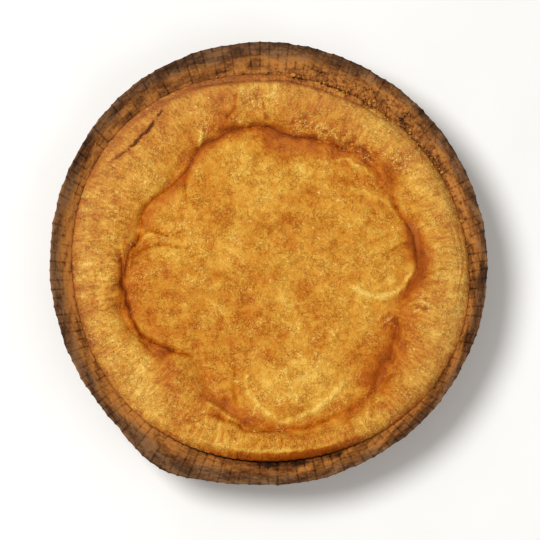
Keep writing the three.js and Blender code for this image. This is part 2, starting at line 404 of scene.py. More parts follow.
def noise(x, y, size, seed):
    """Smooth noise from -1 to 1, in lumps of about that size."""
    cells = np.random.default_rng(seed).uniform(-1, 1, (NOISE_CELLS, NOISE_CELLS))
    # Each layer lies at its own angle, so that no two grids line up
    u = (x * math.cos(seed) - y * math.sin(seed)) / size
    v = (x * math.sin(seed) + y * math.cos(seed)) / size
    column = np.floor(u).astype(int)
    row = np.floor(v).astype(int)
    s = ease(u - column)
    t = ease(v - row)

    def corner(right, up):
        return cells[(column + right) % NOISE_CELLS, (row + up) % NOISE_CELLS]

    low = corner(0, 0) * (1 - s) + corner(1, 0) * s
    high = corner(0, 1) * (1 - s) + corner(1, 1) * s
    return low * (1 - t) + high * t


def layered(x, y, size, seed, layers=3):
    """Noise with finer and weaker noise on it."""
    return sum(noise(x, y, size / 2 ** k, seed + k) / 2 ** k for k in range(layers))


def warped(place, x, y, seed):
    """A coordinate pushed about gently, so that no path drawn there is a clean curve."""
    return place + sum(push * noise(x, y, size, seed + k) for k, (push, size) in enumerate(WARPS))


def smooth_path(points):
    """A curve that runs smoothly through the points."""
    p = np.array(points, float)
    p = np.vstack([2 * p[0] - p[1], p, 2 * p[-1] - p[-2]])
    t = np.linspace(0, 1, PATH_STEPS, endpoint=False)[:, None]
    spans = [
        (2 * b + (c - a) * t + (2 * a - 5 * b + 4 * c - d) * t ** 2 + (3 * b - a - 3 * c + d) * t ** 3) / 2
        for a, b, c, d in zip(p, p[1:], p[2:], p[3:])
    ]
    return np.vstack([*spans, p[-2:-1]])


def across_path(x, y, path):
    """For each place its offset from a path, how far to the left that is, and how far along, 0 to 1."""
    steps = np.diff(path, axis=0)
    lengths = np.hypot(steps[:, 0], steps[:, 1])
    starts = np.concatenate([[0], np.cumsum(lengths)])
    nearest = np.full(x.shape, np.inf)
    side = np.zeros_like(x)
    place = np.zeros_like(x)
    offset = np.zeros((len(x), 2))
    for start, step, length, before in zip(path, steps, lengths, starts):
        dx = x - start[0]
        dy = y - start[1]
        along = np.clip((dx * step[0] + dy * step[1]) / length ** 2, 0, 1)
        from_path = np.stack([dx - along * step[0], dy - along * step[1]], axis=1)
        gap = np.hypot(from_path[:, 0], from_path[:, 1])
        closer = gap < nearest
        nearest = np.where(closer, gap, nearest)
        offset = np.where(closer[:, None], from_path, offset)
        side = np.where(closer, np.copysign(gap, step[0] * dy - step[1] * dx), side)
        place = np.where(closer, (before + along * length) / starts[-1], place)
    return offset, side, place


def beside(x, y, points, reach, ends=0.14):
    """Which places are in reach of a path, their offset and side distance, and a taper at its ends."""
    path = smooth_path(points)
    low = path.min(axis=0) - reach
    high = path.max(axis=0) + reach
    near = np.flatnonzero((x > low[0]) & (x < high[0]) & (y > low[1]) & (y < high[1]))
    offset, side, place = across_path(x[near], y[near], path)
    taper = ease(np.minimum(place, 1 - place) / ends + 0.15)
    return near, offset, side, taper


def carry_line(lines, near, offset, strength):
    """Keeps, at each place, the offset and strength of the line that shows most there.

    The shader draws the line from the offset, which runs evenly across it, so the line is sharper
    than the mesh. Each row of lines is an offset, a strength and how much the line shows.
    """
    distance = np.hypot(offset[:, 0], offset[:, 1])
    shows = strength * gaussian(distance / LINE_REACH)
    wins = shows > lines[near, 3]
    rows = np.column_stack([offset, strength * ease(3 - distance / LINE_REACH), shows])
    lines[near[wins]] = rows[wins]


def toast(bake, near, amount):
    """Browns some places, the less the browner they are already."""
    bake[near] += amount * (1 - bake[near])


def add_folds(x, y, height, bake, lines):
    """Narrow folds, each with a raised lip on its left."""
    for width, depth, lift, browning, points in FOLDS:
        near, offset, side, taper = beside(x, y, points, reach=5 * width)
        groove = gaussian(side / width) * taper
        lip = gaussian((side - LIP_PLACE * width) / (LIP_WIDTH * width)) * taper
        height[near] += lift * lip - depth * groove
        # The browning has a narrow core and a wide faint part
        core = (gaussian(side / (0.8 * width)) + 0.35 * gaussian(side / (2.4 * width))) / 1.35
        # The wider a fold is, the less of it is a sharp line
        sharp = min(1, (SHARP_WIDTH / width) ** 2)
        toast(bake, near, (1 - 0.65 * sharp) * browning * core * taper)
        # Painted highlight: the raised lip is drawn a little paler, as if lit
        bake[near] -= 0.12 * lift * lip
        carry_line(lines, near, offset, sharp * browning * taper)


def add_ridges(x, y, height, bake, lines):
    for width, rise, painted_highlight, points in RIDGES:
        near, offset, side, taper = beside(x, y, points, reach=4 * width)
        ridge = gaussian(side / width) * taper
        height[near] += rise * ridge
        # Painted highlight: the crest is drawn paler, as if lit
        bake[near] -= painted_highlight * ridge
        carry_line(lines, near, offset, (0.3 + 2 * painted_highlight) * taper)


def add_toasted_bands(x, y, bake, film):
    """Browner bands, which are smooth where they are brown."""
    for width, browning, points in TOASTED:
        near, _, side, taper = beside(x, y, points, reach=3 * width, ends=0.3)
        band = gaussian(side / width) * taper
        toast(bake, near, browning * band)
        film[near] += min(0.9, 2 * browning) * band


def add_cracks(x, y, height, bake, lines):
    """Ragged gaps, browner along them and darker than the brownest crust, with painted shade in the gap.
    Returns how much darker each place is.
    """
    scorch_and_gap_shade = np.zeros_like(x)
    ragged_x = x + 0.7 * noise(x, y, size=1.9, seed=71)
    ragged_y = y + 0.7 * noise(x, y, size=1.9, seed=72)
    for width, depth, browning, points in CRACKS:
        near, offset, side, taper = beside(ragged_x, ragged_y, points, reach=4 * width, ends=0.1)
        gap = gaussian(side / width) * taper
        height[near] -= depth * gap
        toast(bake, near, 0.6 * browning * gap)
        carry_line(lines, near, offset, browning * taper)
        # Painted shade in the gap, darker than any crust
        scorch_and_gap_shade[near] += 0.3 * browning * gap
    return scorch_and_gap_shade


def add_patches(x, y, bake):
    for cx, cy, rx, ry, browning in PATCHES:
        bake += browning * gaussian(np.hypot((x - cx) / rx, (y - cy) / ry))


def add_bubbles(x, y, height, bake):
    """Rough bubbly crust on the shoulder of the ring, the lumps' tops drawn paler as painted highlight.
    Returns how glossy each place is, which is where the painted glint spots gather.
    """
    rough = np.full_like(x, SMOOTHEST)
    for cx, cy, radius in BUBBLY:
        rough += gaussian(np.hypot(x - cx, y - cy) / radius)
    lumps = 1 - 2 * np.abs(noise(x, y, size=2.9, seed=81)) - np.abs(noise(x, y, size=1.7, seed=82))
    height += BUBBLE_HEIGHT * rough * lumps
    # Painted highlight: the lumps' tops are drawn paler
    bake -= 0.22 * rough * lumps
    return np.clip(rough, 0, 1)


def add_crinkles(angle, radius, share, to_edge, height, bake):
    """Crinkles run in and out on the ring, and puckers lie every way in the hollow."""
    x, y = flat_place(angle, radius)
    around = CAKE_RADIUS * angle
    crinkle = noise(around, radius / 4, size=2.1, seed=31)
    crinkle += 0.6 * noise(around, radius / 2.4, size=1.2, seed=32)
    crinkle *= ease(share / 0.25 + 0.2) * (0.8 + 0.8 * noise(x, y, size=13, seed=33))
    pucker = layered(x, y, size=4.5, seed=41) * ease(1 - share / 0.3)
    rolling = 0.35 * layered(x, y, size=16, seed=51) + 0.18 * layered(x, y, size=5, seed=54)
    height += ease(to_edge / EDGE_CALM) * (rolling + 0.15 * crinkle + 0.18 * pucker)
    height -= 0.5 * gaussian(to_edge / 1.6) * ease(noise(around, radius, size=2.6, seed=97))
    mottle = 0.1 * layered(x, y, size=14, seed=61) + 0.07 * layered(x, y, size=3.6, seed=64)
    bake += mottle - 0.08 * crinkle - 0.08 * pucker


def ring_height(angle, share, floor):
    crown = CROWN_HEIGHT + CROWN_SWELL * np.sin(CROWN_SWELL_WAVES * angle + CROWN_SWELL_TURN)
    inner = crown - (crown - floor) * (1 - share / CROWN_PLACE) ** 2
    outward = np.maximum(share - CROWN_PLACE, 0) / (1 - CROWN_PLACE)
    outer = crown - (crown - WIDEST_HEIGHT) * outward ** EDGE_ROUNDING
    return np.where(share < CROWN_PLACE, inner, outer)


def hollow_height(inside, x, y, floor):
    dome = np.zeros_like(x)
    for cx, cy, radius, height in BLISTERS:
        share = np.hypot(x - cx, y - cy) / radius
        dome = np.maximum(dome, height * np.maximum(0, 1 - share ** FLATNESS))
    risen = 1 - np.exp(-np.maximum(inside, 0) / HOLLOW_RISE)
    return floor + (HOLLOW_HEIGHT + dome - floor) * risen


def first_browning(angle, radius, inside, to_edge):
    """Browning that falls off on both sides of the crease, and gathers again at the edge."""
    by_crease = np.where(inside > 0, beside_line(INNER_BAKE, inside), beside_line(OUTER_BAKE, inside))
    mottle = 1 + 0.8 * noise(CAKE_RADIUS * angle, radius, size=3.5, seed=96)
    by_edge = beside_line(EDGE_BAKE, to_edge) * (1 - bump(PALE_EDGE, angle)) * mottle
    return PLAIN_BAKE + waves(BAKE_WAVES, angle) + by_crease + by_edge


def brown_front_and_back(x, y, angle, to_edge, bake):
    """A browner back edge, and a smooth red-brown lip at the front. Returns where the lip is."""
    bake += bump(BACK_BAKE, angle) * gaussian((to_edge - 2.5) / 2)
    ragged = to_edge + 0.5 * noise(x, y, size=2.2, seed=98)
    lip = bump(FRONT_LIP, angle) * ease((FRONT_LIP_WIDTH - ragged) / 0.8)
    behind_lip = gaussian((ragged - FRONT_LIP_WIDTH - 0.7) / 0.7)
    bake += 0.4 * lip - bump(FRONT_PALE, angle) * behind_lip
    return lip


def dullness(angle, share, film, lip):
    """The ring is dry and dull towards its edge, and buttery at the front."""
    dry = np.clip(share, 0, 1) * (1 - film) * (1 - bump(BUTTERY_RING, angle))
    dull_film = DULL_FILM * film * (1 - bump(BUTTERY_FILM, angle))
    return (dry + dull_film) * (1 - lip)


def crust(angle, radius):
    """Height of the baked top at places given by angle and distance out, and what its shader needs."""
    x, y = flat_place(angle, radius)
    edge = cake_radius(angle)
    crease = crease_radius(angle) + CREASE_WANDER * noise(x, y, size=9, seed=5)
    floor = CREASE_HEIGHT - bump(DEEP_CREASE, angle)
    share = (radius - crease) / (edge - crease)
    inside = crease - radius
    to_edge = edge - radius
    height = np.where(share < 0, hollow_height(inside, x, y, floor), ring_height(angle, share, floor))
    bake = first_browning(angle, radius, inside, to_edge)
    film = CREASE_FILM * gaussian((inside - CREASE_FILM_PLACE) / CREASE_FILM_PLACE)

    warped_x = warped(x, x, y, seed=21)
    warped_y = warped(y, x, y, seed=23)
    creases = np.zeros((len(x), 4))
    ridges = np.zeros((len(x), 4))
    add_folds(warped_x, warped_y, height, bake, creases)
    add_ridges(warped_x, warped_y, height, bake, ridges)
    add_toasted_bands(warped_x, warped_y, bake, film)
    scorch_and_gap_shade = add_cracks(x, y, height, bake, creases)
    add_patches(x, y, bake)
    gloss = add_bubbles(x, y, height, bake)
    add_crinkles(angle, radius, share, to_edge, height, bake)
    lip = brown_front_and_back(x, y, angle, to_edge, bake)
    film = np.clip(film * (1 - 0.8 * gloss), 0, 1)
    return height, {
        "bake": bake,
        "film": np.maximum(film, lip),
        "gloss": gloss,
        "ring": ease(share / 0.3) * (1 - bump(SMOOTHER_RING, angle)),
        "dull": dullness(angle, share, film, lip),
        "scorch_and_gap_shade": scorch_and_gap_shade,
        "crease": creases[:, :3],
        "ridge": ridges[:, :3],
    }


def back_tatters(angle, radius, height, bake):
    """The lip at the back right is torn away in small bites."""
    x, y = flat_place(angle, radius)
    out = ease((radius - cake_radius(angle) + TORN_WIDTH) / 1.2)
    bites = noise(x, y, size=2.6, seed=91) + 0.4 * noise(x, y, size=1.2, seed=92)
    torn = out * bump(TORN_LIP, angle) * ease((bites + 0.1) / 0.3)
    height -= TORN_DEPTH * torn
    bake += 0.12 * torn


def disc_grid(cells):
    """A square grid pressed into a disc: angle and share of the radius for each point."""
    line = np.linspace(-1, 1, cells + 1)
    u, v = np.meshgrid(line, line)
    wide = np.abs(u) > np.abs(v)
    with np.errstate(divide="ignore", invalid="ignore"):
        share = np.where(wide, u, v)
        turn = np.where(wide, math.pi / 4 * v / u, math.pi / 2 - math.pi / 4 * u / v)
    turn = np.where(share == 0, 0, turn)
    angle = np.where(share < 0, turn + math.pi, turn)
    return angle.ravel(), np.abs(share).ravel()


def border(cells):
    """The grid's outer points in order, anticlockwise."""
    place = np.arange((cells + 1) ** 2).reshape(cells + 1, cells + 1)
    sides = [place[0, :-1], place[:-1, -1], place[-1, :0:-1], place[:0:-1, 0]]
    return np.concatenate(sides).tolist()


def grid_faces(cells):
    side = cells + 1
    corner = (np.arange(cells)[:, None] * side + np.arange(cells)[None, :]).ravel()
    return np.stack([corner, corner + 1, corner + side + 1, corner + side], axis=1).tolist()


def band_faces(first, second):
    """Faces between two closed rows of equal length, the first one below or further out."""
    count = len(first)
    return [
        [first[k], first[(k + 1) % count], second[(k + 1) % count], second[k]]
        for k in range(count)
    ]


def fan_faces(row, middle):
    """Faces between a closed row and a point in its middle."""
    count = len(row)
    return [[row[k], row[(k + 1) % count], middle] for k in range(count)]


def link_object(name, data):
    made = bpy.data.objects.new(name, data)
    bpy.context.scene.collection.objects.link(made)
    return made


def set_attribute(mesh, name, values):
    """Gives the points of a mesh a number or a vector each."""
    kind, field = ("FLOAT", "value") if np.ndim(values) == 1 else ("FLOAT_VECTOR", "vector")
    layer = mesh.attributes.new(name, kind, "POINT")
    layer.data.foreach_set(field, np.asarray(values, np.float32).ravel())


def make_object(name, points, faces, attributes, material):
    """A smooth mesh object from points in millimetres and named attributes."""
    mesh = bpy.data.meshes.new(name)
    mesh.from_pydata((np.asarray(points) * MM).tolist(), [], faces)
    for label, values in attributes.items():
        set_attribute(mesh, label, values)
    mesh.shade_smooth()
    mesh.materials.append(material)
    return link_object(name, mesh)


def side_rings(angle, radius, height, underside):
    """Rings down the cake's side, from its top edge to its foot, each with its browning."""
    foot = CASE_BASE_RADIUS - PLEAT_DEPTH_BASE - PAPER_IN_SOLIDS - CLEARANCE + EDGE_FILL * pleat_fold(angle)
    for row in range(1, SIDE_ROWS + 1):
        drop = row / SIDE_ROWS
        level = height * (1 - drop) + underside * drop
        browning = SIDE_BAKE + 0.1 * noise(CAKE_RADIUS * angle, level, size=5, seed=95)
        yield placed(angle, radius * (1 - drop) + foot * drop, level), browning


def make_cake(material):
    angle, share = disc_grid(TOP_CELLS)
    radius = share * cake_radius(angle)
    height, carried = crust(angle, radius)
    back_tatters(angle, radius, height, carried["bake"])
    # The edge fills the folds of the case
    radius += EDGE_FILL * pleat_fold(angle) * ease((share - 0.985) / 0.015)
    points = [placed(angle, radius, height)]
    bakes = [carried["bake"]]
    faces = grid_faces(TOP_CELLS)

    outer = border(TOP_CELLS)
    above = outer
    count = len(angle)
    underside = PAPER_IN_SOLIDS + CLEARANCE
    for ring, browning in side_rings(angle[outer], radius[outer], height[outer], underside):
        points.append(ring)
        bakes.append(browning)
        below = list(range(count, count + len(outer)))
        faces += band_faces(below, above)
        above = below
        count += len(outer)
    points.append(np.array([[0, 0, underside]]))
    bakes.append([SIDE_BAKE])
    faces += fan_faces(above[::-1], count)

    def padded(values):
        """The same values, and zeros for the side and the underside."""
        return np.pad(values, [(0, count + 1 - len(values)), *[(0, 0)] * (np.ndim(values) - 1)])

    attributes = {name: padded(carried[name]) for name in carried if name != "bake"}
    attributes["bake"] = np.concatenate(bakes)
    return make_object("cake_crust", np.vstack(points), faces, attributes, material)


def pleat_fold(angle):
    """1 on the fold of each pleat, and 0 on the panels between them."""
    return 1 - np.abs(np.sin(angle * PLEATS / 2)) ** PANEL_FLATNESS


def lean_share(height):
    """0 up to the knee and 1 at the rim."""
    return max(height - KNEE_HEIGHT, 0) / (CASE_HEIGHT - KNEE_HEIGHT)


def panel_radius(angle, height):
    """Outside of the case's wall at the panels between its folds."""
    base = CASE_BASE_RADIUS - PLEAT_DEPTH_BASE - BASE_SLACK
    knee = cake_radius(angle) + bump(FRONT_GAP, angle) + STICKING + PAPER
    low = base + (knee - base) * min(height, KNEE_HEIGHT) / KNEE_HEIGHT
    return low + (rim_radius(angle) - PLEAT_DEPTH_RIM - knee) * lean_share(height)


def pleat_depth(height):
    return float(np.interp(
        height, [0, KNEE_HEIGHT, CASE_HEIGHT], [PLEAT_DEPTH_BASE, PLEAT_DEPTH_KNEE, PLEAT_DEPTH_RIM]))


def pleat_standing(x, y, fold, height):
    """Pleats stand out unevenly, and less at the rim and where the cake presses on them."""
    strength = 0.7 + 0.45 * noise(x, y, size=6, seed=102)
    pressed = PRESSED * gaussian((height - KNEE_HEIGHT) / 3)
    return pleat_depth(height) * strength * fold * (1 - pressed) * (1 - 0.5 * lean_share(height))


def paper_toast_and_front_shadow(angle, height, mottle, inner):
    """Browning of the paper: scorched in places, browner inside near the rim, and darker along the front
    below the cake's edge as a painted shadow.
    """
    toast_and_front_shadow = PAPER_TOAST + waves(PAPER_WAVES, angle) + bumps(BROWNER_PAPER, angle) + 0.34 * mottle
    toast_and_front_shadow += bumps(SCORCHED, angle) * gaussian((height - 27.5) / 3)
    # Painted shadow below the cake's front edge
    toast_and_front_shadow += bump(SHADED_FRONT, angle) * gaussian((height - 24.4) / 1.3)
    if inner:
        toast_and_front_shadow += (RIM_TIER + bump(RIM_TIER_BACK, angle)) * ease((height - 28) / 1.5)
    return toast_and_front_shadow


def paper_grease(x, y, angle, height, mottle, inner):
    """Grease has crept up the inside unevenly, and shows through outside."""
    if not inner:
        return 0.35 * ease(0.5 + mottle)
    reach = GREASE_HEIGHT + bump(GREASE_BACK, angle) + 1.5 * noise(x, y, size=12, seed=106) + 1.2 * mottle
    return ease((reach - height) / 4 + 0.5)


def wall_row(angle, height, inset, inner):
    """One row of the case's wall: its points and what the paper's shader needs."""
    x, y = flat_place(angle, NOISE_RADIUS)
    lean = lean_share(height)
    fold = pleat_fold(angle)
    # The pleats aren't all of one width
    shifted = angle + UNEVEN_PLEATS * noise(x, y, size=8, seed=101) * lean
    sway = 0.5 + 0.5 * noise(x, y, size=16, seed=104)
    crushed = CRUSHED * noise(x, y + 4 * height, size=5, seed=107)
    radius = panel_radius(shifted, height) + pleat_standing(x, y, fold, height) - inset
    radius -= (0.5 * sway + crushed - 0.3) * lean
    level = height + RIM_RAGGED * (noise(x, y, size=7, seed=103) - 1) * lean
    mottle = layered(x * (1 + lean / 4), y + 3 * height, size=7, seed=105)
    toast_and_front_shadow = paper_toast_and_front_shadow(angle, height, mottle, inner)
    # Cake sticks to the inside of the wall at the back right, in rough scraps
    if inner and lean > 0:
        stuck = bump(STUCK_CAKE, angle) * gaussian((height - STUCK_HEIGHT) / 2.2)
        scraps = layered(x, y + 5 * height, size=2.2, seed=108, layers=2)
        radius -= 0.5 * stuck * ease(scraps / 0.6 + 0.5)
        toast_and_front_shadow -= stuck * (0.04 + 0.4 * scraps)
    return {
        "points": placed(shifted, radius, level),
        "grease": paper_grease(x, y, angle, height, mottle, inner),
        # Browning, with the painted shadow at the front
        "toast": toast_and_front_shadow,
        "fold": fold,
        "stain": np.full(len(angle), 1.0 if inner else OUTSIDE_STAINS),
    }


def base_ring(angle, radius, height, grease, stain):
    """A ring in the case's flat base, or the one point in its middle."""
    count = len(angle)
    return {
        "points": placed(angle, radius, height),
        "grease": np.full(count, grease),
        "toast": np.full(count, BASE_TOAST),
        "fold": np.zeros(count),
        "stain": np.full(count, stain),
    }


def make_case(material):
    columns = PLEATS * COLUMNS_PER_PLEAT
    angle = np.arange(columns) / columns * 2 * math.pi
    rows = [wall_row(angle, height, 0, inner=False) for height in OUTER_ROWS]
    rows.append(wall_row(angle, CASE_HEIGHT, PAPER / 2, inner=True))
    rows += [wall_row(angle, height, PAPER, inner=True) for height in INNER_ROWS]
    base_radius = CASE_BASE_RADIUS - PLEAT_DEPTH_BASE
    rows += [base_ring(angle, share * base_radius, PAPER, BASE_GREASE, 1.0) for share in BASE_ROWS]

    rings = [list(range(row * columns, (row + 1) * columns)) for row in range(len(rows))]
    faces = []
    for first, second in zip(rings, rings[1:]):
        faces += band_faces(first, second)
    middle = len(rows) * columns
    faces += fan_faces(rings[-1], middle)
    faces += fan_faces(rings[0][::-1], middle + 1)
    axis = np.zeros(1)
    rows.append(base_ring(axis, 0, PAPER, BASE_GREASE, 1.0))
    rows.append(base_ring(axis, 0, 0, UNDERSIDE_GREASE, OUTSIDE_STAINS))
    joined = {name: np.concatenate([row[name] for row in rows]) for name in rows[0]}
    return make_object("paper_case", joined.pop("points"), faces, joined, material)


def crumb_places(draw):
    """Angle, distance out past the cake's edge, size, browning, burning and dullness of each crumb."""
    for _ in range(CRUMBS):
        size = between(CRUMB_SIZES, draw.random() ** 3)
        angle = radians(draw.normal(*CRUMB_DIRECTIONS))
        inset = draw.normal(*CRUMB_INSETS)
        yield angle, -inset, size, draw.uniform(*CRUMB_BAKES), 0, 1
    for _ in range(WALL_CRUMBS):
        out = between(WALL_CRUMB_REACH, draw.random() ** 2)
        size = between(WALL_CRUMB_SIZES, draw.random() ** 2)
        angle = radians(draw.normal(*WALL_CRUMB_DIRECTIONS))
        bake = draw.uniform(*WALL_CRUMB_BAKES)
        yield angle, out, size, bake, draw.uniform(*WALL_CRUMB_BURNS), WALL_CRUMB_DULLNESS


def resting_height(angle, radius, size):
    """Height of a crumb's middle, half sunk in the baked top or lying on the leaning wall."""
    edge = float(cake_radius(angle))
    if radius <= edge:
        return float(crust(np.array([angle]), np.array([radius]))[0][0])
    rim = float(rim_radius(angle)) - PLEAT_DEPTH_RIM - PAPER
    up_wall = (radius - edge - STICKING) / (rim - edge - STICKING)
    lift, size_share = WALL_CRUMB_LIFT
    return between((KNEE_HEIGHT, CASE_HEIGHT), up_wall) + lift + size_share * size


def add_crumb(shape, draw, middle, size):
    """A rough lump, turned and stretched by chance."""
    place = Matrix.Translation(Vector(middle) * MM)
    turn = Matrix.Rotation(draw.uniform(0, 2 * math.pi), 4, Vector(draw.normal(size=3)).normalized())
    stretch = Matrix.Diagonal((*(size * MM * draw.uniform(*CRUMB_STRETCH, 3)), 1))
    lump = bmesh.ops.create_icosphere(shape, subdivisions=2, radius=1)
    for vertex in lump["verts"]:
        vertex.co *= draw.uniform(*CRUMB_ROUGHNESS)
    bmesh.ops.transform(shape, matrix=place @ turn @ stretch, verts=lump["verts"])


def make_crumbs(material):
    """Small torn crumbs on the back right of the edge and the wall behind it."""
    draw = np.random.default_rng(CRUMB_SEED)
    shape = bmesh.new()
    looks = []
    for angle, past_edge, size, *look in crumb_places(draw):
        radius = float(cake_radius(angle)) + past_edge
        middle = (*flat_place(angle, radius), resting_height(angle, radius, size))
        add_crumb(shape, draw, middle, size)
        looks.append(look)
    mesh = bpy.data.meshes.new("crumbs")
    shape.to_mesh(mesh)
    shape.free()
    points_each = len(mesh.vertices) // len(looks)
    for name, values in zip(("bake", "scorch_and_gap_shade", "dull"), np.array(looks).T):
        set_attribute(mesh, name, np.repeat(values, points_each))
    mesh.materials.append(material)
    return link_object("crumbs", mesh)


def new_material(name):
    material = bpy.data.materials.new(name)
    material.use_nodes = True
    return material, material.node_tree, material.node_tree.nodes["Principled BSDF"]


def add_node(tree, kind, inputs, **settings):
    """A shader node with its settings, and each input linked to a socket or given a value."""
    made = tree.nodes.new(kind)
    for name, value in settings.items():
        setattr(made, name, value)
    for key, value in inputs.items():
        if isinstance(value, bpy.types.NodeSocket):
            tree.links.new(value, made.inputs[key])
        else:
            made.inputs[key].default_value = value
    return made


def maths(tree, operation, *values):
    return add_node(tree, "ShaderNodeMath", dict(enumerate(values)), operation=operation).outputs[0]


def vector_maths(tree, operation, *values):
    return add_node(tree, "ShaderNodeVectorMath", dict(enumerate(values)), operation=operation).outputs[0]


def vector_length(tree, vector):
    return add_node(tree, "ShaderNodeVectorMath", {0: vector}, operation="LENGTH").outputs["Value"]


def times(tree, first, second):
    return maths(tree, "MULTIPLY", first, second)


def plus(tree, base, value, factor=1.0):
    """base + factor * value"""
    return maths(tree, "MULTIPLY_ADD", value, factor, base)


def total(tree, base, *parts):
    """The base and each part times its factor."""
    for value, factor in parts:
        base = plus(tree, base, value, factor)
    return base


def swing(tree, noise_value, size):
    """Noise of 0 to 1 as a change of half that size either way."""
    return maths(tree, "MULTIPLY_ADD", noise_value, size, -size / 2)


def mixed(tree, share, first, second):
    """From the first colour at 0 to the second at 1."""
    return add_node(tree, "ShaderNodeMix", {0: share, 6: first, 7: second}, data_type="RGBA").outputs[2]


def ramp(tree, value, stops):
    """A colour ramp through (place, colour) stops."""
    made = add_node(tree, "ShaderNodeValToRGB", {"Fac": value})
    elements = made.color_ramp.elements
    while len(elements) < len(stops):
        elements.new(0.5)
    for element, (place, colour) in zip(elements, stops):
        element.position = place
        element.color = colour
    return made.outputs["Color"]


def coloured(tree, value, stops):
    """A colour ramp through stops of a place and a colour as it looks on a screen."""
    return ramp(tree, value, [(place, linear(colour)) for place, colour in stops])


def rising(tree, value, low, high, floor=0.0):
    """The floor up to a low value, and 1 from a high one."""
    return ramp(tree, value, [(low, (floor, floor, floor, 1)), (high, WHITE)])


def middle_band(tree, value, width):
    """1 where noise is at its middle value, and 0 from that width away."""
    return ramp(tree, value, [(0.5 - width, BLACK), (0.5, WHITE), (0.5 + width, BLACK)])


def attribute(tree, name, output="Fac"):
    return add_node(tree, "ShaderNodeAttribute", {}, attribute_name=name).outputs[output]


def object_place(tree):
    return tree.nodes.new("ShaderNodeTexCoord").outputs["Object"]


def noise_texture(tree, place, size_mm, detail, distortion=0.0):
    """The outputs of a noise texture with lumps of about that size."""
    return add_node(tree, "ShaderNodeTexNoise", {
        "Vector": place, "Scale": 1 / (size_mm * MM), "Detail": detail, "Distortion": distortion}).outputs


def grain(tree, size_mm, detail=3.0, distortion=0.0, squeeze=(1, 1, 1)):
    """Noise from 0 to 1, squeezed along some axes."""
    place = vector_maths(tree, "MULTIPLY", object_place(tree), squeeze)
    return noise_texture(tree, place, size_mm, detail, distortion)["Fac"]


def veins(tree, size_mm, width):
    """Thin broken lines that wander, 1 on a line and 0 away from it."""
    lines = middle_band(tree, grain(tree, size_mm, detail=2.0, distortion=1.0), width)
    return times(tree, lines, rising(tree, grain(tree, 2.6 * size_mm), 0.42, 0.6))


def drawn_line(tree, name, width_mm):
    """The line whose offset and strength the mesh carries, 1 times its strength in the middle."""
    parts = add_node(tree, "ShaderNodeSeparateXYZ", {0: attribute(tree, name, "Vector")}).outputs
    offset = add_node(tree, "ShaderNodeCombineXYZ", {0: parts[0], 1: parts[1]}).outputs[0]
    ragged = plus(tree, vector_length(tree, offset), swing(tree, grain(tree, 1.1), 1.2 * width_mm))
    near = add_node(tree, "ShaderNodeMapRange", {
        "Value": ragged, "From Min": 0.0, "From Max": width_mm, "To Min": 1.0, "To Max": 0.0,
    }, interpolation_type="SMOOTHSTEP").outputs["Result"]
    return times(tree, near, parts[2])


def painted_glints(tree, gloss):
    """Painted highlights: small bright spots that stand in for the glaze catching the light, shown most in
    clusters and on the glossy places.
    """
    painted_glint_spots = rising(tree, grain(tree, 1.5, detail=1.0, distortion=1.8), 0.56, 0.7)
    clusters = rising(tree, grain(tree, 7.0), 0.5, 0.64, floor=0.05)
    return times(tree, painted_glint_spots, maths(tree, "MAXIMUM", clusters, gloss))


def leather(tree, size_mm, softness=0.2):
    """Rounded bumps with thin valleys between them, 0 in a valley and 1 on a bump."""
    place = object_place(tree)
    drift = noise_texture(tree, place, 1.4 * size_mm, detail=2.0)["Color"]
    pushed = vector_maths(tree, "MULTIPLY_ADD", drift, (1.3 * size_mm * MM,) * 3, place)
    cells = add_node(tree, "ShaderNodeTexVoronoi", {
        "Vector": pushed, "Scale": 1 / (size_mm * MM)}, feature="DISTANCE_TO_EDGE")
    return rising(tree, cells.outputs["Distance"], 0.0, softness)


def spokes(tree, size_mm, stretch=3.5):
    """Noise drawn out along the radius, with streaks of that width near the cake's edge."""
    flat = vector_maths(tree, "MULTIPLY", object_place(tree), (1, 1, 0))
    outward = vector_maths(tree, "NORMALIZE", flat)
    rise = times(tree, vector_length(tree, flat), 1 / stretch)
    along = add_node(tree, "ShaderNodeCombineXYZ", {2: rise}).outputs[0]
    unrolled = vector_maths(tree, "MULTIPLY_ADD", outward, (CAKE_RADIUS * MM,) * 3, along)
    return noise_texture(tree, unrolled, size_mm, detail=2.0, distortion=0.9)["Fac"]


def crust_marks(tree):
    """What the colour and the relief of the crust are made of."""
    film = attribute(tree, "film")
    gloss = attribute(tree, "gloss")
    rough = plus(tree, 1.0, film, -0.75)
    # The leathery bumps show in parts, and the rest of the crust is smoother
    bumpy = rising(tree, grain(tree, 11.0), 0.42, 0.62)
    crumbly = rising(tree, grain(tree, 1.6, detail=2.0), 0.4, 0.58, floor=0.2)
    return SimpleNamespace(
        film=film,
        gloss=gloss,
        rough=rough,
        ring=attribute(tree, "ring"),
        lumps=grain(tree, 3.6, detail=2.0, distortion=0.8),
        specks=grain(tree, 1.1, detail=3.0, distortion=1.6),
        streaks=spokes(tree, 1.5),
        wrinkles=maths(tree, "MAXIMUM", veins(tree, 3.4, 0.03), veins(tree, 1.9, 0.05)),
        valleys=times(tree, plus(tree, 1.0, leather(tree, 2.6), -1.0), bumpy),
        bubbles=times(tree, swing(tree, leather(tree, 1.8, softness=0.5), 1.0), gloss),
        crease=drawn_line(tree, "crease", 0.6),
        groove=drawn_line(tree, "crease", 1.7),
        ridge=times(tree, drawn_line(tree, "ridge", 1.7), crumbly),
        # Painted highlight spots, fewer where the crust is smooth
        painted_glint_spots=times(tree, painted_glints(tree, gloss), rough),
    )


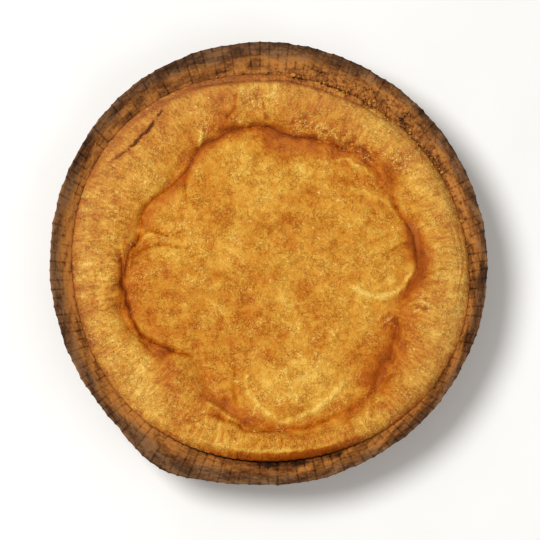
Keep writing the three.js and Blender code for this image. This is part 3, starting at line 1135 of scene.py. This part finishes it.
def crust_colour(tree, marks):
    uneven = total(
        tree, swing(tree, marks.lumps, 0.27),
        (swing(tree, marks.specks, 0.44), 1.0))
    # The valleys are a little browner, and the bumps between them paler
    bake = total(
        tree, attribute(tree, "bake"),
        (times(tree, marks.rough, uneven), 1.0),
        (times(tree, marks.ring, swing(tree, marks.streaks, 0.68)), 1.0),
        (plus(tree, -0.01, marks.valleys, 0.06), 1.0),
        # Painted highlight on the bubbles' tops, with darker colour between them
        (marks.bubbles, -0.3),
        # Painted highlight along the ridges' crests
        (marks.ridge, -0.26),
        # Painted highlight: the glint spots are drawn paler
        (marks.painted_glint_spots, -0.3))
    # Only cracks, wrinkles, creases and scorched crumbs are browner than this; the cracks' darkness is
    # partly painted shade in the gap
    bake = total(
        tree, maths(tree, "MINIMUM", bake, BROWNEST),
        (marks.wrinkles, 0.2),
        (marks.crease, 0.3),
        (marks.groove, 0.12),
        # Painted shade in the cracks, and scorch on the crumbs
        (attribute(tree, "scorch_and_gap_shade"), 1.0))
    colour = coloured(tree, bake, CRUST_COLOURS)
    colour = mixed(tree, times(tree, attribute(tree, "dull"), 0.2), colour, linear(DULL_CRUST))
    # Painted highlight: the glint spots are tinted towards the pale glint colour
    glint_share = times(tree, marks.painted_glint_spots, plus(tree, 0.2, marks.gloss, 0.3))
    return mixed(tree, glint_share, colour, linear(PAINTED_GLINT))


def crust_relief(tree, marks):
    """The normal of the crust's fine relief on top of its coarser unevenness."""
    relief = total(
        tree, plus(tree, 0.25, grain(tree, 1.3, detail=2.0, distortion=1.0)),
        (marks.wrinkles, -0.4),
        (times(tree, marks.ring, marks.streaks), -0.7),
        (marks.valleys, -0.3),
        (marks.bubbles, 0.8),
        (marks.groove, -0.6),
        (marks.ridge, 0.7))
    fine = add_node(tree, "ShaderNodeBump", {
        "Height": times(tree, relief, marks.rough), "Strength": 1.0, "Distance": 0.5 * MM})
    coarse = add_node(tree, "ShaderNodeBump", {
        "Height": grain(tree, 2.6, detail=3.0, distortion=0.8), "Strength": 0.7, "Distance": 0.8 * MM,
        "Normal": fine.outputs["Normal"]})
    return coarse.outputs["Normal"]


def crust_material():
    material, tree, shader = new_material("baked_crust")
    marks = crust_marks(tree)
    roughness = plus(tree, plus(tree, 0.58, marks.film, -0.06), swing(tree, marks.specks, 0.3))
    # No shine at the bottom of a crease
    shine = maths(tree, "MAXIMUM", plus(tree, 0.3, marks.groove, -0.8), 0.0)
    tree.links.new(crust_colour(tree, marks), shader.inputs["Base Color"])
    tree.links.new(roughness, shader.inputs["Roughness"])
    tree.links.new(crust_relief(tree, marks), shader.inputs["Normal"])
    tree.links.new(shine, shader.inputs["Specular IOR Level"])
    shader.inputs["Specular Tint"].default_value = (1.0, 0.76, 0.42, 1)
    return material


def paper_browning_and_fold_shade(tree, fibre):
    """The mesh's browning and painted shadow, with streaks, fibres, dark folds and crossways creases on it;
    the folds' darkness is partly grease and partly painted shade in the pleats.
    """
    streaks = grain(tree, 5.0, detail=3.0, squeeze=(1, 1, 6))
    fold = ramp(tree, attribute(tree, "fold"), [(0.35, BLACK), (0.8, WHITE)])
    seen = rising(tree, grain(tree, 7.0, detail=4.0), 0.34, 0.64)
    tiers = middle_band(tree, grain(tree, 30.0, detail=2.0, squeeze=(1, 1, 12)), 0.04)
    stains_and_fold_shade = total(
        tree, -0.1,
        (swing(tree, streaks, 0.75), 1.0),
        (swing(tree, fibre, 1.0), 1.0),
        # Dark folds: partly grease, partly painted shade in the pleats' grooves
        (times(tree, fold, seen), 0.36),
        (times(tree, tiers, seen), 0.3))
    return plus(tree, attribute(tree, "toast"), times(tree, stains_and_fold_shade, attribute(tree, "stain")))


def paper_material():
    material, tree, shader = new_material("brown_paper")
    fibre = grain(tree, 1.3, detail=5.0, distortion=0.8)
    grease = plus(tree, attribute(tree, "grease"), swing(tree, grain(tree, 5.0, detail=4.0), 0.8))
    browning = paper_browning_and_fold_shade(tree, fibre)
    colour = mixed(tree, grease, coloured(tree, browning, DRY_PAPER), coloured(tree, browning, GREASY_PAPER))
    rise = add_node(tree, "ShaderNodeBump", {"Height": fibre, "Strength": 0.35, "Distance": 0.2 * MM})
    tree.links.new(colour, shader.inputs["Base Color"])
    tree.links.new(plus(tree, 0.74, grease, -0.2), shader.inputs["Roughness"])
    tree.links.new(rise.outputs["Normal"], shader.inputs["Normal"])
    shader.inputs["Specular IOR Level"].default_value = 0.15
    shader.inputs["Specular Tint"].default_value = (1.0, 0.82, 0.6, 1)
    return material


def table_material():
    material, tree, shader = new_material("pale_table")
    tree.links.new(coloured(tree, grain(tree, 90.0), TABLE_COLOURS), shader.inputs["Base Color"])
    shader.inputs["Roughness"].default_value = 0.6
    return material


def make_table(material):
    mesh = bpy.data.meshes.new("table")
    corners = [(x * TABLE_HALF, y * TABLE_HALF, 0) for x, y in ((-1, -1), (1, -1), (1, 1), (-1, 1))]
    mesh.from_pydata(corners, [], [(0, 1, 2, 3)])
    mesh.materials.append(material)
    link_object("table", mesh)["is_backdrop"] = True


def add_area_light(name, place, size, watts):
    light = bpy.data.lights.new(name, "AREA")
    light.shape = "DISK"
    light.size = size
    light.energy = watts
    made = link_object(name, light)
    made.location = place
    made.rotation_euler = (Vector(LIGHT_AIM) - Vector(place)).to_track_quat("-Z", "Y").to_euler()


def light_scene():
    for name, place, size, watts in LIGHTS:
        add_area_light(name, place, size, watts)
    world = bpy.data.worlds.new("room")
    world.use_nodes = True
    background = world.node_tree.nodes["Background"]
    background.inputs["Color"].default_value = ROOM_COLOUR
    background.inputs["Strength"].default_value = ROOM_STRENGTH
    bpy.context.scene.world = world
    bpy.context.scene.view_settings.view_transform = "Standard"


def add_camera():
    camera = bpy.data.cameras.new("camera")
    camera.lens = LENS
    camera.sensor_width = SENSOR_WIDTH
    made = link_object("camera", camera)
    rise = radians(CAMERA_ELEVATION)
    x, y, z = CAMERA_TARGET
    made.location = Vector((
        x, y - CAMERA_DISTANCE * math.cos(rise), z + CAMERA_DISTANCE * math.sin(rise))) * MM
    made.rotation_euler = (math.pi / 2 - rise, 0, 0)
    bpy.context.scene.camera = made


def dress():
    crust_look = crust_material()
    paper_look = paper_material()
    cake = make_cake(crust_look)
    case = make_case(paper_look)
    crumbs = make_crumbs(crust_look)
    for piece, slot in ((cake, "baked_crust"), (case, "brown_paper"), (crumbs, "baked_crust")):
        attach(piece, "root")
    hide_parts("cake")
    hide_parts("baking_case")
    make_table(table_material())
    light_scene()
    add_camera()


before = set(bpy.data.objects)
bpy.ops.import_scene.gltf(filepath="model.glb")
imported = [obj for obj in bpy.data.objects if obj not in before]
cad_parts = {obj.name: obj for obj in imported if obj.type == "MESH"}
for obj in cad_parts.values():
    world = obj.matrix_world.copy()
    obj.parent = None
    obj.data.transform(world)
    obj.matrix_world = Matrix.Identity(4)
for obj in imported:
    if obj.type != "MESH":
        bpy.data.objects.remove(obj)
cad_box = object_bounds()
dress()
[[list(corner) for corner in box] for box in (cad_box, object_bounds())]
